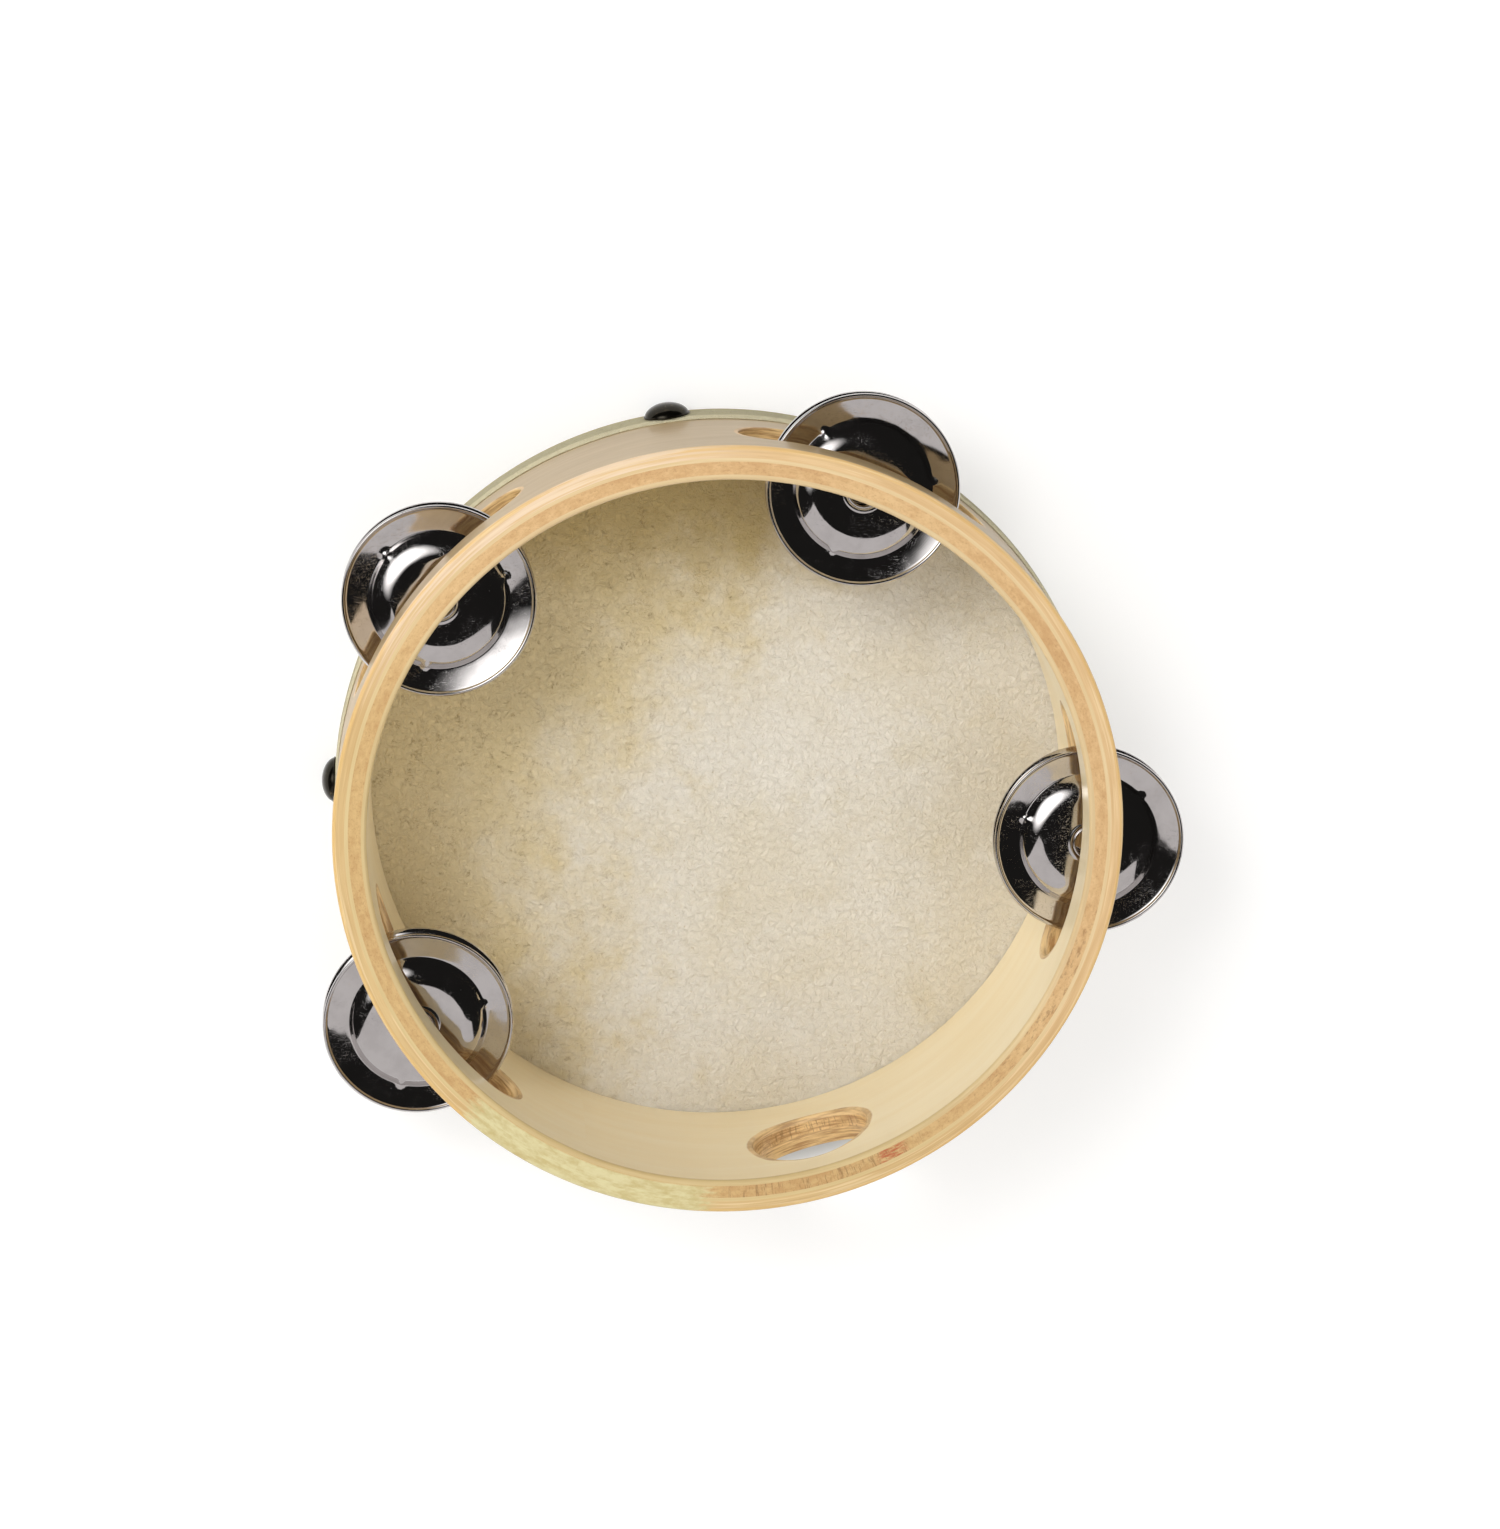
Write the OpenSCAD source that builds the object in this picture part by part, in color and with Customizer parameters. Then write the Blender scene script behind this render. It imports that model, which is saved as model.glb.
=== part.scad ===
// Six inch wooden tambourine: plywood hoop, tacked skin head, four pairs of jingles and a finger hole.
// The drum lies on its head: z = 0 is the outer face of the skin and +Z points to the open rim.

/* [Hoop] */
// Outside diameter of the hoop
hoop_d = 150; // [140:1:260]
// Height from the skin's outer face to the open rim
drum_h = 42; // [38:0.5:60]
// Thickness of the outer ply
outer_ply_t = 2.3; // [2:0.1:3]
// Thickness of the pale ply between the outer ply and the core
light_ply_t = 0.7; // [0.4:0.1:1]
// Thickness of the core ply, which holds the pins
core_ply_t = 2.4; // [2.4:0.1:4]
// Thickness of the inner veneer
inner_ply_t = 1.1; // [0.8:0.1:1.5]
// Rounding of the hoop's edges
edge_round = 0.7; // [0.3:0.1:0.8]

/* [Jingle slots] */
// Angle of the first slot around the hoop
first_slot_angle = 68.6; // [0:0.1:72]
// Length of a slot from end to end
slot_length = 50; // [46:0.5:54]
// Height of a slot
slot_h = 13.3; // [13:0.1:16]
// Height of the slots' centre line above the skin's face
slot_mid_z = 26; // [22:0.5:27]

/* [Finger hole] */
// Diameter of the finger hole
finger_hole_d = 23.3; // [18:0.1:26]
// Height of the finger hole's centre above the skin's face
finger_hole_z = 23.2; // [20:0.1:26]

/* [Head] */
// Thickness of the skin
skin_t = 0.5; // [0.3:0.1:0.8]
// Height of the skin's turned-up band on the outside of the hoop
band_h = 10.6; // [8:0.1:14]

/* [Tacks] */
// Diameter of a tack's domed head
tack_head_d = 9; // [6:0.5:9.5]
// Height of the dome
tack_head_h = 2.6; // [1.5:0.1:3]
// Diameter of a tack's shank
tack_shank_d = 1.6; // [1.2:0.1:2]
// Length of a tack's shank
tack_shank_l = 5.4; // [4:0.1:5.6]
// Height of the tacks above the skin's face
tack_z = 5.2; // [5:0.1:6]
// Angles of the four tacks around the hoop
tack_angles = [97.5, 177.5, 249, 322];

/* [Jingles] */
// Diameter of a jingle
jingle_d = 36.6; // [34:0.2:38]
// Thickness of the sheet
jingle_t = 0.45; // [0.3:0.05:0.5]
// Diameter of the centre hole
jingle_hole_d = 5.6; // [4:0.1:6]
// Diameter of the raised centre boss
boss_d = 18.8; // [16:0.2:20]
// Height of the boss above the valley
boss_h = 2.7; // [2:0.1:3]
// Diameter of the valley, where the two jingles of a pair face each other
valley_d = 26.6; // [24:0.2:28]
// Height of the flared rim above the valley
flare_h = 1.7; // [1:0.1:2]
// Gap between the valleys of a pair
pair_gap = 0.3; // [0.2:0.05:0.6]

/* [Pins] */
// Diameter of a jingle pin
pin_d = 1.5; // [1.2:0.1:2]
// Angles from each slot's middle to its pin, because the holes were drilled by eye
pin_offsets = [-0.2, -0.5, -0.1, 0.5];
// Radial clearance of a pin in its hole
pin_clearance = 0.05; // [0.02:0.01:0.08]
// Depth of solid wood left between a pin's hole and the open rim
rim_cover = 4; // [2:0.5:6]

/* [Hidden] */
$fn = 96;

// Five equal stations around the hoop: four hold a slot and the fourth one round holds the finger hole.
station_step = 360 / 5;
slot_angles = [for (station = [0, 1, 2, 4]) first_slot_angle + station * station_step];
finger_hole_angle = first_slot_angle + 3 * station_step;

hoop_r = hoop_d / 2;
light_ply_r = hoop_r - outer_ply_t;
core_ply_r = light_ply_r - light_ply_t;
inner_ply_r = core_ply_r - core_ply_t;
bore_r = inner_ply_r - inner_ply_t;
through = 2; // how far a cutter runs past the face it cuts

pin_circle_r = core_ply_r - core_ply_t / 2;
pin_angles = slot_angles + pin_offsets;
pin_hole_top = drum_h - rim_cover;
pin_end_gap = 0.3;

// A pair hangs off centre, with the edge of each hole resting on the pin, when the drum stands on edge.
hang = jingle_hole_d / 2 - pin_d / 2 - pin_clearance;
lip_w = 0.7;
lip_h = 0.3;
valley_w = 1;
bead_w = 0.5;
bead_h = 0.2;
nib_count = 3;
nib_r = 0.8;
nib_h = 0.5;
// The way the nibs of each pair point
nib_turn = [4, 18, 14, 40];

// A section from the axis out to r and up to h, with its lower outer corner rounded
module drum_section(r, h, corner) {
    translate([0, corner]) square([r, h - corner]);
    square([r - corner, h]);
    translate([r - corner, corner]) circle(corner);
}

// The hoop's whole wall in section, with its four edges rounded
module wall_section() {
    translate([bore_r + edge_round, skin_t]) square([hoop_r - bore_r - 2 * edge_round, drum_h - skin_t]);
    translate([bore_r, skin_t + edge_round]) square([hoop_r - bore_r, drum_h - skin_t - 2 * edge_round]);
    for (r = [bore_r + edge_round, hoop_r - edge_round], z = [skin_t + edge_round, drum_h - edge_round])
        translate([r, z]) circle(edge_round);
}

// Turns a flat outline in X and Y so that it stands in Y and Z, and pushes it out along +X
module radial_extrude(length) {
    rotate([90, 0, 90]) linear_extrude(length) children();
}

module slot_outline() {
    straight = slot_length - slot_h;
    translate([-straight / 2, -slot_h / 2]) square([straight, slot_h]);
    for (side = [-1, 1])
        translate([side * straight / 2, 0]) circle(slot_h / 2);
}

// Everything that is cut through the hoop's wall: slots, finger hole, pin holes and tack holes
module wall_openings() {
    for (angle = slot_angles)
        rotate([0, 0, angle])
            translate([bore_r - 3 * through, 0, slot_mid_z])
                radial_extrude(hoop_r - bore_r + 5 * through) slot_outline();
    rotate([0, 0, finger_hole_angle])
        translate([bore_r - 3 * through, 0, finger_hole_z])
            rotate([0, 90, 0]) cylinder(d = finger_hole_d, h = hoop_r - bore_r + 5 * through);
    for (angle = pin_angles)
        rotate([0, 0, angle])
            translate([pin_circle_r, 0, -through])
                cylinder(d = pin_d + 2 * pin_clearance, h = pin_hole_top + through);
    tack_holes();
}

module tack_holes() {
    for (angle = tack_angles)
        rotate([0, 0, angle])
            translate([hoop_r + skin_t - tack_shank_l, 0, tack_z])
                rotate([0, 90, 0]) cylinder(d = tack_shank_d, h = tack_shank_l + through);
}

// One ply of the hoop, from radius r_in out to r_out
module ply(r_in, r_out) {
    difference() {
        rotate_extrude() intersection() {
            wall_section();
            translate([r_in, 0]) square([r_out - r_in, drum_h]);
        }
        wall_openings();
    }
}

module skin_head() {
    color([0.87, 0.84, 0.68]) difference() {
        rotate_extrude() difference() {
            drum_section(hoop_r + skin_t, band_h, edge_round + skin_t);
            translate([0, skin_t]) drum_section(hoop_r, band_h, edge_round);
        }
        tack_holes();
    }
}

module hoop_outer_ply() {
    color([0.87, 0.74, 0.55]) ply(light_ply_r, hoop_r);
}

module hoop_light_ply() {
    color([0.93, 0.86, 0.70]) ply(core_ply_r, light_ply_r);
}

module hoop_core_ply() {
    color([0.80, 0.60, 0.40]) ply(inner_ply_r, core_ply_r);
}

module hoop_inner_veneer() {
    color([0.92, 0.83, 0.62]) ply(bore_r, inner_ply_r);
}

// A domed tack: a cap of a sphere on a straight shank, with its point inwards
module tack(k) {
    rim_r = tack_head_d / 2;
    dome_r = (rim_r * rim_r + tack_head_h * tack_head_h) / (2 * tack_head_h);
    color([0.20, 0.19, 0.17])
        rotate([0, 0, tack_angles[k]])
            translate([hoop_r + skin_t, 0, tack_z])
                rotate([0, 90, 0]) {
                    intersection() {
                        translate([0, 0, tack_head_h - dome_r]) sphere(dome_r);
                        cylinder(r = rim_r + 1, h = tack_head_h + 1);
                    }
                    translate([0, 0, -tack_shank_l]) cylinder(d = tack_shank_d, h = tack_shank_l + 0.5);
                }
}

module pin(k) {
    color([0.62, 0.62, 0.62])
        rotate([0, 0, pin_angles[k]])
            translate([pin_circle_r, 0, skin_t + pin_end_gap])
                cylinder(d = pin_d, h = pin_hole_top - skin_t - 2 * pin_end_gap);
}

// The underside of the sheet from the hole out to the rim, as radius and height above the valley
function jingle_line() = [
    [jingle_hole_d / 2, boss_h + lip_h],
    [jingle_hole_d / 2 + lip_w / 2, boss_h + lip_h],
    [jingle_hole_d / 2 + lip_w, boss_h],
    [boss_d / 2, boss_h],
    [(valley_d - valley_w) / 2, 0],
    [(valley_d + valley_w) / 2, 0],
    [jingle_d / 2 - bead_w, flare_h],
    [jingle_d / 2, flare_h + bead_h]
];

// A small raised bump pressed up out of the sheet
module nib() {
    translate([0, 0, jingle_t + nib_h - nib_r])
        rotate_extrude() intersection() {
            circle(nib_r, $fn = 32);
            square(nib_r);
        }
}

// A pressed disc with its valley down at z = 0 and its boss and rim raised
module jingle_disc(turn) {
    line = jingle_line();
    last = len(line) - 1;
    top = [for (i = [last:-1:0]) line[i] + [0, jingle_t]];
    rotate_extrude() polygon(concat(line, top));
    for (i = [0:nib_count - 1])
        rotate([0, 0, turn + i * 360 / nib_count])
            translate([valley_d / 2, 0, 0]) nib();
}

module hung_on_pin(k) {
    angle = pin_angles[k];
    translate([pin_circle_r * cos(angle), pin_circle_r * sin(angle) - hang, slot_mid_z]) children();
}

module jingle_upper(k) {
    color([0.78, 0.78, 0.80])
        hung_on_pin(k) translate([0, 0, pair_gap / 2]) jingle_disc(nib_turn[k]);
}

module jingle_lower(k) {
    color([0.72, 0.72, 0.75])
        hung_on_pin(k) translate([0, 0, -pair_gap / 2]) mirror([0, 0, 1]) jingle_disc(nib_turn[k] + 60);
}

skin_head();
hoop_outer_ply();
hoop_light_ply();
hoop_core_ply();
hoop_inner_veneer();
for (k = [0:3]) {
    tack(k);
    pin(k);
    jingle_upper(k);
    jingle_lower(k);
}
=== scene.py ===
"""The looks of a small wooden tambourine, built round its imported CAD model. Lengths are in metres."""

import math

import bpy
import numpy as np
from mathutils import Matrix, Vector


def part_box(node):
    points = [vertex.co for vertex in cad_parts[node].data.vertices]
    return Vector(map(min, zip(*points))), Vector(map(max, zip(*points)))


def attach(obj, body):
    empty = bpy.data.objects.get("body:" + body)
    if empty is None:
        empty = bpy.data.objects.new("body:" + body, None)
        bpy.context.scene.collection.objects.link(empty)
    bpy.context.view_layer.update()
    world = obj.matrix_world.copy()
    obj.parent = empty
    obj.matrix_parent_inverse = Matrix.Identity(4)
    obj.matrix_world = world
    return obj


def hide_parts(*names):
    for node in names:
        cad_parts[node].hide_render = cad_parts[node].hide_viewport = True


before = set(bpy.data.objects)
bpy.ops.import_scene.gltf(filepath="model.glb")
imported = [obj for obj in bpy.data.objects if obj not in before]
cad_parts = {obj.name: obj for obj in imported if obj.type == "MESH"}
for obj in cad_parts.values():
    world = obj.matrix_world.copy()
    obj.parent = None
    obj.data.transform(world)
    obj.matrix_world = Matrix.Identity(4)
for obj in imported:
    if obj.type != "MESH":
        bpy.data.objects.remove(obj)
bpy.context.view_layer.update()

MM = 0.001
TURN = 2 * math.pi

# ---------------------------------------------------------------- sizes, from the frame

PLIES = ("hoop_outer_ply", "hoop_light_ply", "hoop_core_ply", "hoop_inner_veneer")


def node_radii(node):
    """Smallest and largest distance of a node's points from the hoop's axis."""
    points = np.array([v.co[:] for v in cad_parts[node].data.vertices])
    r = np.hypot(points[:, 0], points[:, 1])
    return float(r.min()), float(r.max())


ply_outer = [node_radii(node)[1] for node in PLIES]
BORE_R = node_radii(PLIES[-1])[0]
ply_inner = ply_outer[1:] + [BORE_R]
HOOP_R = ply_outer[0]
WOOD_LOW, WOOD_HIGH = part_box(PLIES[0])[0][2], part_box(PLIES[0])[1][2]
BAND_R = node_radii("skin_head")[1]
BAND_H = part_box("skin_head")[1][2]
SKIN_T = WOOD_LOW

# The five stations round the hoop: four slots and, at the fourth one round, the finger hole.
STATIONS = 5
STATION_STEP = TURN / STATIONS
FIRST_SLOT = math.radians(68.6)
HOLE_STATION = 3
SLOT_L, SLOT_H, SLOT_Z = 50 * MM, 13.3 * MM, 26 * MM
HOLE_D, HOLE_Z = 23.3 * MM, 23.2 * MM
EASE = 0.7 * MM        # rounding of the hoop's rims
CUT_EASE = 0.35 * MM   # rounding of the slots' and hole's edges
SEAM = math.radians(246)   # where the plies' ends meet


def srgb(r, g, b):
    """A colour given as 0 to 255 display values, as linear RGB with alpha."""
    def linear(c):
        c /= 255
        return c / 12.92 if c <= 0.04045 else ((c + 0.055) / 1.055) ** 2.4
    return (linear(r), linear(g), linear(b), 1.0)


# ---------------------------------------------------------------- mesh helpers


def mesh_object(name, points, faces, smooth=True):
    mesh = bpy.data.meshes.new(name)
    mesh.from_pydata([tuple(p) for p in points], [], faces)
    mesh.validate()
    mesh.update()
    if smooth:
        mesh.polygons.foreach_set("use_smooth", [True] * len(mesh.polygons))
    obj = bpy.data.objects.new(name, mesh)
    bpy.context.scene.collection.objects.link(obj)
    return obj


def grid_faces(rows, columns, close_rows=False, close_columns=True, flip=False):
    """Quads of a grid whose points are stored row by row."""
    faces = []
    for i in range(rows if close_rows else rows - 1):
        a, b = i * columns, ((i + 1) % rows) * columns
        for j in range(columns if close_columns else columns - 1):
            k = (j + 1) % columns
            quad = (a + j, a + k, b + k, b + j)
            faces.append(quad[::-1] if flip else quad)
    return faces


def arc(centre, radius, start, end, steps):
    """Points of an arc in a section plane, angles in degrees."""
    angles = np.radians(np.linspace(start, end, steps + 1))
    return [(centre[0] + radius * math.cos(a), centre[1] + radius * math.sin(a)) for a in angles]


def weld(obj, distance=1e-7):
    """Joins points that lie on each other, and turns all faces outwards."""
    import bmesh
    work = bmesh.new()
    work.from_mesh(obj.data)
    bmesh.ops.remove_doubles(work, verts=work.verts, dist=distance)
    bmesh.ops.recalc_face_normals(work, faces=work.faces)
    work.to_mesh(obj.data)
    work.free()


def steady_normals(obj):
    """Weights the shading normals by face area, so that big faces stay flat beside small fillets."""
    obj.data.set_sharp_from_angle(angle=math.radians(38))
    modifier = obj.modifiers.new("weighted", "WEIGHTED_NORMAL")
    modifier.keep_sharp = True
    modifier.weight = 50


# ---------------------------------------------------------------- materials


class Shader:
    """A material whose nodes are made by short calls."""

    def __init__(self, name):
        self.material = bpy.data.materials.new(name)
        self.material.use_nodes = True
        self.nodes = self.material.node_tree.nodes
        self.links = self.material.node_tree.links
        self.surface = self.nodes["Principled BSDF"]

    def put(self, socket, value):
        if isinstance(value, bpy.types.NodeSocket):
            self.links.new(value, socket)
        else:
            socket.default_value = value

    def set(self, **values):
        """Sets the surface's own sockets, named with _ for each space."""
        for name, value in values.items():
            self.put(self.surface.inputs[name.replace("_", " ")], value)

    def math(self, operation, *values, clamp=False):
        node = self.nodes.new("ShaderNodeMath")
        node.operation = operation
        node.use_clamp = clamp
        for socket, value in zip(node.inputs, values):
            self.put(socket, value)
        return node.outputs[0]

    def between(self, value, low, high):
        """0 at low, 1 at high, smooth in between."""
        node = self.nodes.new("ShaderNodeMapRange")
        node.interpolation_type = "SMOOTHSTEP"
        self.put(node.inputs["Value"], value)
        self.put(node.inputs["From Min"], low)
        self.put(node.inputs["From Max"], high)
        return node.outputs[0]

    def mix(self, factor, a, b, blend="MIX"):
        node = self.nodes.new("ShaderNodeMix")
        node.data_type = "RGBA"
        node.blend_type = blend
        self.put(node.inputs["Factor"], factor)
        self.put(node.inputs[6], a)
        self.put(node.inputs[7], b)
        return node.outputs[2]

    def place(self):
        """A point's place on the object, in millimetres."""
        node = self.nodes.new("ShaderNodeTexCoord")
        return self.scaled(node.outputs["Object"], (1 / MM,) * 3)

    def scaled(self, vector, scale):
        node = self.nodes.new("ShaderNodeVectorMath")
        node.operation = "MULTIPLY"
        self.put(node.inputs[0], vector)
        self.put(node.inputs[1], scale)
        return node.outputs[0]

    def shifted(self, vector, offset):
        node = self.nodes.new("ShaderNodeVectorMath")
        node.operation = "ADD"
        self.put(node.inputs[0], vector)
        self.put(node.inputs[1], offset)
        return node.outputs[0]

    def parts(self, vector):
        node = self.nodes.new("ShaderNodeSeparateXYZ")
        self.put(node.inputs[0], vector)
        return node.outputs[0], node.outputs[1], node.outputs[2]

    def joined(self, x, y, z):
        node = self.nodes.new("ShaderNodeCombineXYZ")
        for socket, value in zip(node.inputs, (x, y, z)):
            self.put(socket, value)
        return node.outputs[0]

    def noise(self, vector, scale=1.0, detail=3.0, rough=0.55, twist=0.0):
        node = self.nodes.new("ShaderNodeTexNoise")
        self.put(node.inputs["Vector"], vector)
        self.put(node.inputs["Scale"], scale)
        self.put(node.inputs["Detail"], detail)
        self.put(node.inputs["Roughness"], rough)
        self.put(node.inputs["Distortion"], twist)
        return node.outputs["Fac"]

    def bump(self, height, distance, strength=1.0, after=None):
        node = self.nodes.new("ShaderNodeBump")
        self.put(node.inputs["Height"], height)
        self.put(node.inputs["Distance"], distance)
        self.put(node.inputs["Strength"], strength)
        if after is not None:
            self.put(node.inputs["Normal"], after)
        return node.outputs[0]


def hoop_place(shader):
    """A point's place along the bent ply, its height and its distance from the axis, in millimetres."""
    uv = shader.nodes.new("ShaderNodeUVMap")
    uv.uv_map = "along"
    along, height, _ = shader.parts(shader.scaled(uv.outputs[0], (1 / MM, 1 / MM, 1)))
    x, y, _ = shader.parts(shader.place())
    radius = shader.math("SQRT", shader.math("ADD", shader.math("MULTIPLY", x, x),
                                             shader.math("MULTIPLY", y, y)))
    return along, height, radius


def arc_mm(degrees):
    """The length along the hoop, from the seam, of a direction round it."""
    return (math.radians(degrees) - SEAM) % TURN * HOOP_R / MM


def patch(shader, along, start, end, soft):
    """1 between two directions round the hoop, fading over soft millimetres at each end."""
    rise = shader.between(along, arc_mm(start) - soft, arc_mm(start) + soft)
    fall = shader.between(along, arc_mm(end) + soft, arc_mm(end) - soft)
    return shader.math("MULTIPLY", rise, fall)


def wood(name, light, dark, edge, stretch, face=None, fleck=0.0, outer_line=False, shift=0.0, spots=False,
         varnish=0.4):
    """Varnished veneer. stretch is the grain's scale per millimetre along the ply, through it and up it."""
    s = Shader(name)
    along, height, radius = hoop_place(s)
    where = s.joined(s.math("ADD", along, shift), radius, height)
    grain = s.noise(s.scaled(where, stretch), detail=5, rough=0.62)
    cloud = s.noise(s.scaled(where, (0.035, 0.2, 0.09)), detail=2)
    pores = s.noise(s.scaled(where, tuple(4 * k for k in stretch)), detail=2, rough=0.7)
    tone = s.math("ADD", s.math("MULTIPLY", grain, 0.75), s.math("MULTIPLY", cloud, 0.5))
    tone = s.between(tone, 0.4, 0.86)
    colour = s.mix(tone, light, dark)
    colour = s.mix(s.math("MULTIPLY", s.between(pores, 0.56, 0.75), 0.28), colour, edge)

    # the bent faces are cleaner and greyer than the sanded rim, and hold painted light: the outer face is
    # darkened as painted shade, the inner face paled as painted light
    on_rim = s.between(height, WOOD_HIGH / MM - 0.9, WOOD_HIGH / MM - 0.35)
    if face:
        flat = s.mix(s.math("MULTIPLY", tone, 0.7), *face)
        colour = s.mix(on_rim, flat, colour)

    # the sawn walls of the slots and the hole are browner and torn
    sawn = s.nodes.new("ShaderNodeAttribute")
    sawn.attribute_name = "sawn"
    torn = s.noise(s.scaled(where, (0.16, 2.0, 0.16)), detail=4, rough=0.62)
    torn_colour = s.mix(s.between(torn, 0.36, 0.66), srgb(238, 202, 140), srgb(172, 126, 74))
    ragged_cut = s.math("ADD", sawn.outputs["Fac"], s.math("MULTIPLY", s.math("SUBTRACT", torn, 0.5), 0.5))
    in_cut = s.math("MULTIPLY", s.between(ragged_cut, 0.35, 0.6), 0.8)
    colour = s.mix(in_cut, colour, torn_colour)
    if fleck:
        flecks = s.noise(s.scaled(where, (1.5, 1.9, 0.5)), detail=3, rough=0.75)
        ticks = s.noise(s.scaled(where, (2.6, 0.35, 0.3)), detail=2, rough=0.6)
        colour = s.mix(s.math("MULTIPLY", s.between(flecks, 0.52, 0.72), fleck), colour, edge)
        dark_ticks = s.math("MULTIPLY", s.between(ticks, 0.52, 0.68), patch(s, along, 270, 301, 3))
        colour = s.mix(s.math("MULTIPLY", dark_ticks, 0.55), colour, srgb(132, 96, 60))
        burnt = s.noise(s.scaled(where, (0.5, 1.4, 0.3)), detail=3, rough=0.6)
        scorched = s.math("MULTIPLY", s.between(burnt, 0.52, 0.68), patch(s, along, 316, 348, 3))
        colour = s.mix(s.math("MULTIPLY", scorched, 0.5), colour, srgb(140, 100, 60))
    # the rim is darker and yellower over its low and left side
    right_and_top_arc = patch(s, along, 315, 150, 30)
    low_left_tint = s.math("MULTIPLY", s.math("SUBTRACT", 1.0, right_and_top_arc), on_rim)
    colour = s.mix(low_left_tint, colour, s.mix(1.0, colour, srgb(242, 243, 230), blend="MULTIPLY"))
    if spots:
        rust = s.math("MULTIPLY", patch(s, along, 294.2, 298.4, 1.6),
                      s.between(s.noise(s.scaled(where, (0.5, 2.6, 0.6)), detail=4), 0.4, 0.62))
        colour = s.mix(s.math("MULTIPLY", rust, on_rim), colour, srgb(184, 100, 62))
    if outer_line:
        line = s.math("MULTIPLY", s.between(radius, HOOP_R / MM - 0.95, HOOP_R / MM - 0.5), on_rim)
        colour = s.mix(s.math("MULTIPLY", line, 0.6), colour, srgb(226, 186, 116))
        streaks = s.noise(s.scaled(where, (0.05, 2.4, 0.3)), detail=2)
        pale = s.math("MULTIPLY", s.between(streaks, 0.52, 0.66), on_rim)
        colour = s.mix(s.math("MULTIPLY", pale, 0.4), colour, srgb(242, 220, 176))
        # a painted highlight: the outer ply's rim is paler and pinker over its upper left arc, where the
        # key light's sheen falls
        painted_sheen = s.math("MULTIPLY", patch(s, along, 92, 152, 14), s.between(grain, 0.38, 0.6))
        colour = s.mix(s.math("MULTIPLY", s.math("MULTIPLY", painted_sheen, on_rim), 0.75), colour,
                       srgb(238, 216, 190))

    # pale filler where the plies' ends meet
    ragged = s.noise(s.scaled(where, (0.22, 0.9, 0.5)), detail=4, rough=0.7)
    wavering = s.math("ADD", along, s.math("MULTIPLY", s.math("SUBTRACT", ragged, 0.5), 16))
    ring_end = TURN * HOOP_R / MM
    before = s.between(wavering, ring_end - 27, ring_end - 22)
    after = s.between(wavering, arc_mm(267) + 2, arc_mm(267) - 3)
    filled = s.math("MULTIPLY", s.math("MAXIMUM", before, after), on_rim)
    filled = s.math("MULTIPLY", filled, s.between(radius, BORE_R / MM + 1.0, BORE_R / MM + 1.5))
    mottle = s.between(s.noise(s.scaled(where, (0.25, 0.6, 0.4)), detail=4, rough=0.65), 0.35, 0.7)
    filler = s.mix(mottle, srgb(216, 208, 160), srgb(194, 178, 122))
    colour = s.mix(s.math("MULTIPLY", filled, 0.92), colour, filler)

    s.set(Base_Color=colour, Roughness=0.45, IOR=1.45, Specular_IOR_Level=0.4, Coat_Weight=varnish,
          Coat_Roughness=0.14, Coat_IOR=1.45)
    fine = s.bump(grain, 0.03 * MM, 0.5)
    s.set(Normal=s.bump(pores, 0.012 * MM, 0.5, after=fine))
    # broad ripples of the veneer under the varnish
    ripple = s.noise(s.scaled(where, (0.05, 0.1, 0.12)), detail=1)
    s.set(Coat_Normal=s.bump(ripple, 0.25 * MM, 0.5))
    return s.material


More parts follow.
